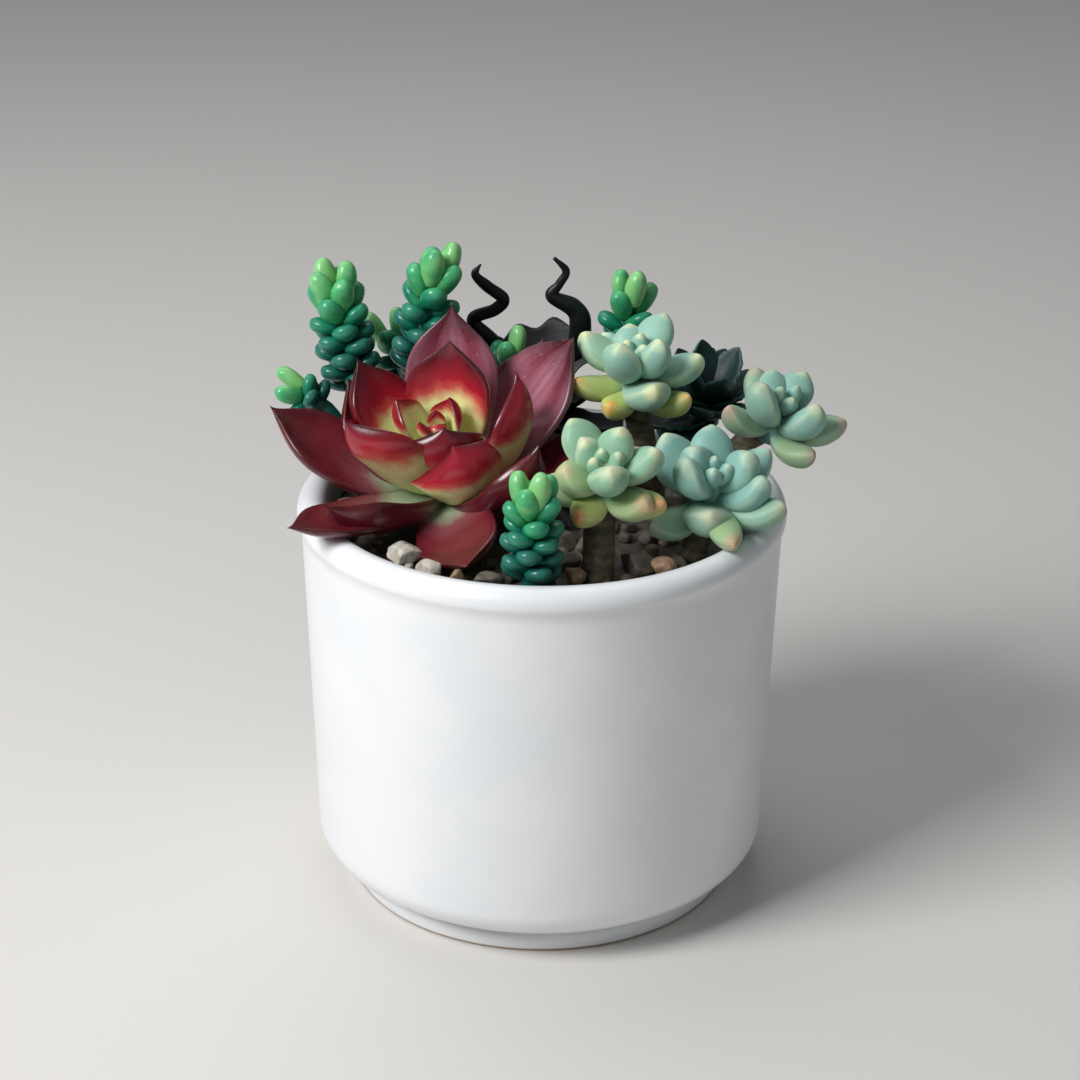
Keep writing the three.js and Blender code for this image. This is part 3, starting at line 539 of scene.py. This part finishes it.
paleLeaf = {
    "thick": 7.2, "bow": 1.2, "cup": 0.2, "root": 0.42, "widest": 0.56, "belly": 2.2, "point": 0.75,
    "around": 28, "rings": 26, "keel": 0.4, "dish": 0.0, "grain": 0.15, "wobble": 0.25, "plump": 1.04,
    "edge": lambda t, x: 0,
}
budLeaf = {
    "thick": 3.8, "bow": 0.4, "cup": 0, "around": 18, "rings": 14, "keel": 0.1, "dish": 0.0, "wobble": 0.1,
}
# In each head's colours, base is the leaf's teal base darkened with painted shade for the crease where leaves
# overlap.
paleHeads = {
    "A": {
        "heart": (22.3, 10, 132.9), "axis": (0.05, -0.3, 0.95), "core": 4.2, "depth": 12,
        "stem": [(26.5, 15, 76), (26, 15, 98), (22.5, 13.8, 118), (22, 12.6, 124)],
        "radii": [3.2, 3.2, 3.3, 2.6],
        "leaves": [
            (160, 69, 14.5, 4, 8.5, {"bow": 2.4}), (239, 33, 15, 5.5, 10.5, {"bow": 2.4}),
            (99, 61, 10.5, 4, 8.5, {}), (53, 55, 14.5, 4, 9.5, {}), (128, 76, 13, 6, 8, {}),
            (312, 30, 14.5, 5, 8.5, {"bow": 2}), (352, 68, 17, 5.5, 9, {"bow": 2.6}),
            (290, 65, 14.5, 7.5, 11.5, {"bow": 3}), (203, 78, 16, 8.5, 7.5, {"thick": 6, "bow": 2.6}),
            (243, 85, 13, 9.5, 8, {"thick": 6, "bow": 2.6}),
            (324, 77, 16.5, 9.5, 9, {"thick": 6, "bow": 3.8}), (190, 18, 7.5, 4, 4.5, budLeaf),
            (60, 12, 8, 4, 4.5, budLeaf), (310, 20, 7.5, 4, 5, budLeaf),
        ],
        "colours": {"base": "#6b9f8f", "middle": "#95c1ae", "tip": "#d9e2b4",
                    "old": "#bccb70", "oldTip": "#e2a050"},
        "ripe": {0: 0.15, 7: 0.1, 8: 0.9, 9: 1.0, 10: 0.9},
    },
    "B": {
        "heart": (14.3, -33, 121.1), "axis": (0, -0.5, 0.86), "core": 4.2, "depth": 12,
        "stem": [(13, -36, 76), (13, -35.5, 94), (13.4, -31, 106), (14.1, -28, 113)],
        "radii": [3.9, 3.9, 3.7, 2.6],
        "leaves": [
            (127, 61, 15, 4, 10, {}), (134, 44, 9.5, 4, 8, {"bow": 2}), (59, 35, 11.5, 4, 9, {}),
            (280, 30, 12, 5, 10, {}), (8, 56, 14.5, 5, 8.5, {"bow": 2}),
            (190, 57, 11.5, 6, 9.5, {"bow": 2}), (182, 73, 14, 9, 8.5, {"bow": 2.8}),
            (318, 68, 13.5, 8, 9.5, {"bow": 3}), (334, 77, 15.5, 9, 8, {"thick": 6, "bow": 3}),
            (241, 72, 13, 10, 8, {"thick": 6, "bow": 1.4}), (45, 80, 13, 8, 8.5, {}),
            (200, 22, 7.5, 4, 4.2, budLeaf), (110, 16, 7, 4, 4.2, budLeaf), (10, 22, 8.5, 4.5, 5, budLeaf),
        ],
        "colours": {"base": "#66977e", "middle": "#8db899", "tip": "#d2dab0",
                    "old": "#b7c274", "oldTip": "#d99058"},
        "ripe": {5: 0.45, 6: 0.4, 7: 0.55, 8: 0.9, 9: 1.0, 10: 0.3},
    },
    "C": {
        "heart": (40.1, -24, 115.7), "axis": (0.1, -0.4, 0.9), "core": 4.2, "depth": 12,
        "stem": [(35, -23, 76), (35.5, -23, 92), (38.1, -21, 104), (39.1, -20.2, 108.3)],
        "radii": [3.2, 3.2, 3.2, 2.4],
        "leaves": [
            (128, 80, 18, 6, 13.5, {"bow": 4.2}), (94, 59, 14, 4, 10.5, {}), (156, 35, 10.5, 4, 9, {}),
            (16, 38, 11.5, 4.5, 10, {"bow": 2.6}), (39, 79, 18, 6, 10, {"bow": 3.2}),
            (200, 36, 13, 5.5, 11, {"bow": 1.7}), (344, 52, 14.5, 7, 9.5, {"bow": 3}),
            (266, 58, 12.5, 9.5, 12, {"bow": 3}), (336, 69, 19, 9, 9.5, {"bow": 3.2}),
            (217, 83, 18, 9.8, 8.5, {"thick": 6, "bow": 4}),
            (284, 77, 19.5, 9, 8, {"thick": 6, "bow": 1.2}), (250, 18, 8, 4.5, 4.5, budLeaf),
            (100, 14, 7, 4, 4.2, budLeaf), (0, 22, 7.5, 4.5, 4.8, budLeaf),
        ],
        "colours": {"base": "#5c9188", "middle": "#84b3a7", "tip": "#bcd2b4",
                    "old": "#94b47c", "oldTip": "#bd8f74"},
        "ripe": {7: 0.35, 8: 0.35, 9: 0.5, 10: 0.9},
    },
    "D": {
        "heart": (58.7, 6, 122.4), "axis": (0.3, -0.3, 0.9), "core": 4.2, "depth": 12,
        "stem": [(40.5, 13, 76), (41.5, 13, 96), (48, 12, 107), (55.6, 9, 113.4)],
        "radii": [2.9, 2.9, 2.9, 2.4],
        "leaves": [
            (127, 71, 13, 5, 8.5, {"bow": 2}), (112, 63, 10.5, 4, 8.5, {}),
            (209, 38, 15, 6.5, 11, {"bow": 1.8}), (62, 54, 11.5, 4, 9.5, {"bow": 2}),
            (315, 36, 13.5, 6.5, 10, {"bow": 3}), (356, 67, 17, 8, 8.5, {"bow": 2.6}),
            (199, 72, 15.5, 8, 8, {"thick": 6, "bow": 2.8}),
            (302, 74, 15.5, 9, 8, {"thick": 6, "bow": 2.8}), (90, 78, 12, 7, 8, {}),
            (190, 20, 7.5, 4, 4.2, budLeaf), (40, 16, 7.5, 4, 4.2, budLeaf),
            (280, 22, 7.5, 4.5, 4.8, budLeaf),
        ],
        "colours": {"base": "#62958a", "middle": "#8ab7a8", "tip": "#bccdaa",
                    "old": "#93ab7c", "oldTip": "#b97f78"},
        "ripe": {0: 0.5, 2: 0.15, 5: 0.5, 6: 0.6, 7: 0.8},
    },
}


def powderedLeaf(letter, colours):
    # Pale stonecrop skin under its dusting of wax: matt, milky blue-green, lighter on edges, warmer with age,
    # darker at the leaf base with painted crease shade.
    material, tree, shader = startMaterial("powderedLeaf" + letter)
    place = addNode(tree, "TexCoord")
    along = addNode(tree, "Attribute", {"attribute_name": "along"})
    rim = addNode(tree, "Attribute", {"attribute_name": "rim"})
    age = addNode(tree, "Attribute", {"attribute_name": "age"})
    cloud = addNode(tree, "TexNoise", {"Scale": 1000 / 6, "Detail": 3.0}, {"Vector": place.outputs["Object"]})
    drift = addNode(tree, "MapRange", {"From Min": 0.25, "From Max": 0.75, "To Min": -0.07, "To Max": 0.07},
                    {"Value": cloud.outputs[0]})
    reach = addNode(tree, "Math", {"operation": "ADD"}, {0: along.outputs["Fac"], 1: drift.outputs[0]})
    # The base stop is partly the leaf's own teal and partly painted shade in the crease between leaves.
    fresh = addNode(tree, "ValToRGB", {"stops": [(0.1, colours["base"]), (0.42, colours["middle"]),
                                                 (0.88, colours["middle"]), (1.0, colours["tip"])]},
                    {"Fac": reach.outputs[0]})
    old = addNode(tree, "ValToRGB", {"stops": [(0.1, colours["base"]), (0.42, colours["old"]),
                                               (0.84, colours["old"]), (1.0, colours["oldTip"])]},
                  {"Fac": reach.outputs[0]})
    body = addNode(tree, "Mix", {"data_type": "RGBA"},
                   {0: age.outputs["Fac"], 6: fresh.outputs[0], 7: old.outputs[0]})
    edge = addNode(tree, "MapRange", {"From Min": 0.95, "From Max": 1.0, "To Max": 0.4},
                   {"Value": rim.outputs["Fac"]})
    edged = addNode(tree, "Mix", {"data_type": "RGBA", 7: toLinear(colours["tip"])},
                    {0: edge.outputs[0], 6: body.outputs[2]})
    powder = addNode(tree, "TexNoise", {"Scale": 1000 / 0.9, "Detail": 4.0},
                     {"Vector": place.outputs["Object"]})
    bump = addNode(tree, "Bump", {"Strength": 0.1, "Distance": 0.0003}, {"Height": powder.outputs[0]})
    tree.links.new(edged.outputs[2], shader.inputs["Base Color"])
    tree.links.new(bump.outputs[0], shader.inputs["Normal"])
    shader.inputs["Roughness"].default_value = 0.46
    shader.inputs["IOR"].default_value = 1.42
    shader.inputs["Subsurface Weight"].default_value = 0.14
    shader.inputs["Subsurface Radius"].default_value = (0.6, 1.0, 0.5)
    shader.inputs["Subsurface Scale"].default_value = 0.003
    shader.inputs["Sheen Weight"].default_value = 0.15
    shader.inputs["Sheen Roughness"].default_value = 0.5
    return material


def woodyStem():
    # Old stonecrop stem: thin papery bark, grey-brown, ringed where leaves have dropped.
    material, tree, shader = startMaterial("woodyStem")
    place = addNode(tree, "TexCoord")
    stretch = addNode(tree, "Mapping", {"Scale": (1000 / 3, 1000 / 3, 1000 / 1.6)},
                      {"Vector": place.outputs["Object"]})
    streak = addNode(tree, "TexNoise", {"Scale": 1.0, "Detail": 5.0}, {"Vector": stretch.outputs[0]})
    colour = addNode(tree, "ValToRGB", {"stops": [(0.25, "#2c2a1c"), (0.5, "#504a36"), (0.75, "#716850")]},
                     {"Fac": streak.outputs[0]})
    bump = addNode(tree, "Bump", {"Strength": 0.5, "Distance": 0.0005}, {"Height": streak.outputs[0]})
    tree.links.new(colour.outputs[0], shader.inputs["Base Color"])
    tree.links.new(bump.outputs[0], shader.inputs["Normal"])
    shader.inputs["Roughness"].default_value = 0.85
    return material


def makePaleHeads():
    bark = woodyStem()
    for letter, head in paleHeads.items():
        mesh = startMesh()
        addRosette(mesh, head, paleLeaf, head["leaves"], lambda i: (head["ripe"].get(i, 0), (i * 0.618) % 1))
        name = "pale_rosette_" + letter.lower()
        finishPiece(mesh, "paleRosette" + letter, powderedLeaf(letter, head["colours"]), [name])
        mesh = startMesh()
        addBar(mesh, head["stem"], head["radii"], 28, 44, wobble=0.35)
        finishPiece(mesh, "paleStem" + letter, bark, ["pale_stem_" + letter.lower()])


# Seven sprigs of bead leaves.

beadLeaf = {
    "bow": 0, "cup": 0, "root": 0.62, "widest": 0.52, "belly": 2.0, "point": 0.5, "around": 16, "rings": 12,
    "keel": 0, "dish": 0, "grain": 0.25, "wobble": 0.15, "plump": 1, "edge": lambda t, x: 0,
}
sprigs = [
    {"foot": (-38, 24, 76), "bend": (-47, 26, 118), "top": (-51, 28, 142),
     "start": 0.54, "count": 28, "size": 9},
    {"foot": (-31, 26, 76), "bend": (-34, 28, 118), "top": (-26, 29, 147),
     "start": 0.58, "count": 22, "size": 9},
    {"foot": (-24, 39, 76), "bend": (-29, 39, 108), "top": (-38.5, 41, 126),
     "start": 0.7, "count": 10, "size": 8},
    {"foot": (-43, 17, 76), "bend": (-44, 17.5, 112), "top": (-61, 18.5, 118.5),
     "start": 0.82, "count": 9, "size": 7},
    {"foot": (-2.5, -42.5, 76), "bend": (-2.5, -42.5, 98), "top": (-2, -42.5, 116.5),
     "start": 0.48, "count": 24, "size": 8.3},
    {"foot": (17.2, 36.6, 76), "bend": (17.8, 36.5, 110), "top": (22, 38, 138),
     "start": 0.66, "count": 16, "size": 8.4},
    {"foot": (-9, 31.5, 76), "bend": (-9, 31.5, 100), "top": (-8.5, 31.5, 125),
     "start": 0.76, "count": 9, "size": 7.5},
]


# How a sprig grows: leaves open at "lean" degrees lower down and close by "close" towards the crown.
sprigGrowth = {
    "end": 0.945, "turn": 137.5, "firstTurn": 20, "crownFrom": 0.62, "lean": 70, "close": 62,
    "stemRadii": [1.5, 1.5, 2.4, 2.8, 1.4],
}


def glossyBead():
    # Bead-leaved stonecrop: smooth, juicy and shiny, leaf-green at the crown and bottle green below.
    material, tree, shader = startMaterial("glossyBead")
    place = addNode(tree, "TexCoord")
    along = addNode(tree, "Attribute", {"attribute_name": "along"})
    age = addNode(tree, "Attribute", {"attribute_name": "age"})
    cloud = addNode(tree, "TexNoise", {"Scale": 1000 / 5, "Detail": 2.0}, {"Vector": place.outputs["Object"]})
    drift = addNode(tree, "MapRange", {"From Min": 0.25, "From Max": 0.75, "To Min": -0.1, "To Max": 0.1},
                    {"Value": cloud.outputs[0]})
    high = addNode(tree, "Math", {"operation": "ADD"}, {0: age.outputs["Fac"], 1: drift.outputs[0]})
    colour = addNode(tree, "ValToRGB", {"stops": [(0.0, "#0b4a46"), (0.5, "#0f6657"), (0.74, "#17835f"),
                                                  (0.88, "#44a867"), (1.0, "#86c67c")]},
                     {"Fac": high.outputs[0]})
    # Each bead's outer end is lightened: partly its own paler tip, partly painted highlight.
    lit = addNode(tree, "MapRange", {"From Min": 0.6, "To Max": 0.22}, {"Value": along.outputs["Fac"]})
    tipHighlighted = addNode(tree, "Mix", {"data_type": "RGBA", "blend_type": "SCREEN", 7: toLinear("#5f9f86")},
                     {0: lit.outputs[0], 6: colour.outputs[0]})
    skin = addNode(tree, "TexNoise", {"Scale": 1000 / 1.2, "Detail": 3.0},
                   {"Vector": place.outputs["Object"]})
    bump = addNode(tree, "Bump", {"Strength": 0.1, "Distance": 0.0003}, {"Height": skin.outputs[0]})
    tree.links.new(tipHighlighted.outputs[2], shader.inputs["Base Color"])
    tree.links.new(bump.outputs[0], shader.inputs["Normal"])
    shader.inputs["Roughness"].default_value = 0.27
    shader.inputs["IOR"].default_value = 1.45
    shader.inputs["Subsurface Weight"].default_value = 0.2
    shader.inputs["Subsurface Radius"].default_value = (0.4, 1.0, 0.5)
    shader.inputs["Subsurface Scale"].default_value = 0.002
    return material


def bezierPoint(sprig, t):
    foot, bend, top = Vector(sprig["foot"]), Vector(sprig["bend"]), Vector(sprig["top"])
    point = foot * (1 - t) ** 2 + bend * 2 * t * (1 - t) + top * t * t
    run = (bend - foot) * 2 * (1 - t) + (top - bend) * 2 * t
    return point, run.normalized()


def makeSprigs():
    skin = glossyBead()
    for number, sprig in enumerate(sprigs, 1):
        mesh = startMesh()
        marks = [bezierPoint(sprig, t)[0] for t in (0, 0.25, 0.5, 0.75, 1)]
        addBar(mesh, marks, sprigGrowth["stemRadii"], 14, 16, age=0.3)
        for i in range(sprig["count"]):
            share = i / (sprig["count"] - 1)
            place, run = bezierPoint(sprig, mix(sprig["start"], sprigGrowth["end"], share ** 0.9))
            side = Vector((0, 1, 0)).cross(run).normalized()
            turn = sprigGrowth["turn"] * i + sprigGrowth["firstTurn"]
            out = Matrix.Rotation(math.radians(turn), 3, run) @ side
            crown = max(0, (share - sprigGrowth["crownFrom"]) / (1 - sprigGrowth["crownFrom"]))
            lean = math.radians(sprigGrowth["lean"] - sprigGrowth["close"] * crown ** 0.75)
            length = sprig["size"] * (0.86 + 0.28 * crown)
            way = run * math.cos(lean) + out * math.sin(lean)
            base = place + out * (0.5 + 1.3 * crown)
            kind = {**beadLeaf, "thick": sprig["size"] * (0.48 + 0.1 * crown)}
            width = sprig["size"] * (0.76 - 0.1 * crown)
            addLeaf(mesh, kind, base, base + way * length, run, width, 0.15 + 0.85 * share, (i * 0.618) % 1)
        finishPiece(mesh, f"beadSprig{number}", skin, [f"bead_sprig_{number}"])


# Dark plants at the back.

darkAgave = {
    "heart": (-3, 43, 112), "axis": (0, -0.1, 1), "core": 4.2, "depth": 12,
    "stem": [(-3, 43.5, 76), (-3, 44, 103)], "stemRadii": [3.6, 3.6],
    "wavyLeaf": {"base": (-15, 43, 116), "tip": (14, 41, 123), "face": (0, -0.8, 0.6), "width": 17},
    "leaves": [(55, 58, 22, 6, 13, {}), (125, 58, 22, 6, 13, {}), (182, 62, 20, 8, 12, {}),
               (356, 62, 20, 8, 12, {}), (315, 78, 32, 8, 14, {})],
    "curls": [
        {"points": [(-6, 43, 110), (-12, 41, 122), (-17.5, 40, 129.5), (-12, 40, 132.4), (-10, 40, 135.2),
                    (-14, 40, 138.5), (-16.9, 40, 141.5), (-15.6, 40, 144.2)],
         "radii": [2.4, 2.4, 1.7, 1.6, 1.6, 1.5, 1.1, 0.3]},
        {"points": [(0, 43, 110), (8, 41, 121), (9.3, 40, 129), (7.5, 40, 133), (2.2, 40, 136),
                    (4, 40, 139.2), (5.6, 40, 142.6), (2.6, 40, 146)],
         "radii": [2.6, 2.8, 2.8, 2.4, 1.7, 1.1, 1, 0.5]},
    ],
}
darkLeaf = {
    "thick": 3, "bow": 2, "cup": 1.5, "root": 0.6, "widest": 0.45, "belly": 2, "point": 0.6, "around": 28,
    "rings": 40, "keel": 0.3, "dish": 0.6, "grain": 0.12, "wobble": 0.3, "plump": 1,
    "edge": lambda t, x: 0.1 * math.cos(6 * math.pi * t) * x * x,
}
toothedAgave = {
    "heart": (42, 31, 116), "axis": (0.15, -0.15, 0.97), "core": 3.8, "depth": 10,
    "stem": [(34, 26, 76), (34.5, 26.5, 97), (40.2, 32.2, 108)], "stemRadii": [3, 3, 3],
    "leaves": [
        (20, 58, 16, 5, 9.5, {}), (75, 56, 16, 5, 9.5, {}), (130, 58, 16, 5, 9.5, {}),
        (185, 62, 15, 5, 9.5, {}), (245, 66, 14, 6, 9.5, {}), (310, 66, 15, 6, 9.5, {}),
        (45, 32, 15, 4, 8.5, {}), (120, 30, 15, 4, 8.5, {}), (200, 32, 13, 4, 8.5, {}),
        (285, 34, 12, 4, 8.5, {}), (195, 92, 18, 9, 11, {}), (232, 94, 18, 9, 11, {}),
    ],
}
toothedLeaf = {
    "thick": 3, "bow": 1, "cup": 1, "root": 0.7, "widest": 0.5, "belly": 2, "point": 0.8, "around": 24,
    "rings": 44, "keel": 0.4, "dish": 0.5, "grain": 0.15, "wobble": 0.2, "plump": 1,
    "edge": lambda t, x: 0.22 * ((t * 6) % 1) * abs(x) ** 6 * ease(0.15, 0.3, t),
}


def darkCuticle(name, deep, light, edgeColour, roughness):
    # Agave skin: tough and leathery with a thin dull wax, its edges a shade lighter and greener.
    material, tree, shader = startMaterial(name)
    place = addNode(tree, "TexCoord")
    rim = addNode(tree, "Attribute", {"attribute_name": "rim"})
    cloud = addNode(tree, "TexNoise", {"Scale": 1000 / 7, "Detail": 3.0}, {"Vector": place.outputs["Object"]})
    body = addNode(tree, "ValToRGB", {"stops": [(0.3, deep), (0.7, light)]}, {"Fac": cloud.outputs[0]})
    edge = addNode(tree, "MapRange", {"From Min": 0.82, "From Max": 1.0, "To Max": 0.7},
                   {"Value": rim.outputs["Fac"]})
    edged = addNode(tree, "Mix", {"data_type": "RGBA", 7: toLinear(edgeColour)},
                    {0: edge.outputs[0], 6: body.outputs[0]})
    skin = addNode(tree, "TexNoise", {"Scale": 1000 / 1.1, "Detail": 4.0},
                   {"Vector": place.outputs["Object"]})
    bump = addNode(tree, "Bump", {"Strength": 0.15, "Distance": 0.0004}, {"Height": skin.outputs[0]})
    tree.links.new(edged.outputs[2], shader.inputs["Base Color"])
    tree.links.new(bump.outputs[0], shader.inputs["Normal"])
    shader.inputs["Roughness"].default_value = roughness
    shader.inputs["IOR"].default_value = 1.38
    return material


def makeDarkPlants():
    mesh = startMesh()
    addRosette(mesh, darkAgave, darkLeaf, darkAgave["leaves"], lambda i: (0.5, (i * 0.618) % 1))
    wavy = {**darkLeaf, "widest": 0.5, "root": 0.5, "bow": 1,
            "edge": lambda t, x: 0.16 * math.cos(6 * math.pi * t) * x * x}
    leaf = darkAgave["wavyLeaf"]
    addLeaf(mesh, wavy, Vector(leaf["base"]), Vector(leaf["tip"]), Vector(leaf["face"]), leaf["width"])
    addBar(mesh, darkAgave["stem"], darkAgave["stemRadii"], 18, 6)
    for curl in darkAgave["curls"]:
        addBar(mesh, curl["points"], curl["radii"], 18, 80, flat=0.8)
    finishPiece(mesh, "darkAgave", darkCuticle("blackAgaveSkin", "#070a0b", "#13181a", "#1e2527", 0.42),
                ["dark_agave"])
    mesh = startMesh()
    addRosette(mesh, toothedAgave, toothedLeaf, toothedAgave["leaves"], lambda i: (0.5, (i * 0.618) % 1))
    addBar(mesh, toothedAgave["stem"], toothedAgave["stemRadii"], 18, 12)
    finishPiece(mesh, "toothedAgave", darkCuticle("slateAgaveSkin", "#0e2322", "#1d3d3a", "#47756f", 0.42),
                ["toothed_agave"])


# Stage, light and camera.

studio = {
    "floor": "#d9d6d1", "floorSize": 4, "floorRoughness": 0.9,
    "sky": "#dfe4ea", "skyStrength": 0.2, "aimHeight": 0.08,
    "key": {"place": (-0.62, -0.42, 0.72), "size": 0.42, "power": 10.0, "colour": "#fdfdff"},
    "fill": {"place": (0.75, -0.7, 0.4), "size": 0.8, "power": 0.3, "colour": "#e8eefb"},
    "top": {"place": (-0.1, 0.35, 0.9), "size": 0.6, "power": 2.0, "colour": "#ffffff"},
}
view = {"elevation": 23.978, "distance": 0.7, "targetHeight": 0.08732, "focal": 2878.44, "frame": 1080,
        "roll": 0.366, "shiftPixels": -1.747, "sensor": 36}


def makeStage():
    mesh = bmesh.new()
    bmesh.ops.create_grid(mesh, x_segments=2, y_segments=2, size=studio["floorSize"])
    data = bpy.data.meshes.new("floor")
    mesh.to_mesh(data)
    mesh.free()
    floor = bpy.data.objects.new("floor", data)
    scene.collection.objects.link(floor)
    material, tree, shader = startMaterial("plainFloor")
    shader.inputs["Base Color"].default_value = toLinear(studio["floor"])
    shader.inputs["Roughness"].default_value = studio["floorRoughness"]
    data.materials.append(material)
    world = bpy.data.worlds.new("softRoom")
    world.use_nodes = True
    sky = world.node_tree.nodes["Background"]
    sky.inputs["Color"].default_value = toLinear(studio["sky"])
    sky.inputs["Strength"].default_value = studio["skyStrength"]
    scene.world = world
    for name in ("key", "fill", "top"):
        lamp = studio[name]
        light = bpy.data.lights.new(name + "Light", "AREA")
        light.size = lamp["size"]
        light.energy = lamp["power"]
        light.color = toLinear(lamp["colour"])[:3]
        holder = bpy.data.objects.new(name + "Light", light)
        holder.location = lamp["place"]
        aim = Vector((0, 0, studio["aimHeight"])) - Vector(lamp["place"])
        holder.rotation_euler = aim.to_track_quat("-Z", "Y").to_euler()
        scene.collection.objects.link(holder)


def makeCamera():
    data = bpy.data.cameras.new("view")
    data.sensor_width = view["sensor"]
    data.lens = view["focal"] / view["frame"] * view["sensor"]
    data.shift_x = view["shiftPixels"] / view["frame"]
    data.clip_start = 0.01
    data.clip_end = 20
    camera = bpy.data.objects.new("view", data)
    tilt = math.radians(view["elevation"])
    back = Vector((0, -math.cos(tilt), math.sin(tilt)))
    camera.location = Vector((0, 0, view["targetHeight"])) + back * view["distance"]
    turn = Matrix.Rotation(math.radians(90 - view["elevation"]), 3, "X")
    roll = Matrix.Rotation(math.radians(view["roll"]), 3, "Z")
    camera.rotation_euler = (turn @ roll).to_euler()
    scene.collection.objects.link(camera)
    scene.camera = camera


makeCamera()
makeStage()
makePot()
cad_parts["potting_soil"].data.materials.clear()
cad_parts["potting_soil"].data.materials.append(pottingSoil())
stemPlaces = [(*head["stem"][0][:2], filling["paleStemRoom"]) for head in paleHeads.values()]
stemPlaces += [(*sprig["foot"][:2], filling["sprigRoom"]) for sprig in sprigs]
stemPlaces += filling["clearings"]
makeGravel(stemPlaces)
makeEcheveria()
makePaleHeads()
makeSprigs()
makeDarkPlants()
scene.view_settings.view_transform = "Standard"
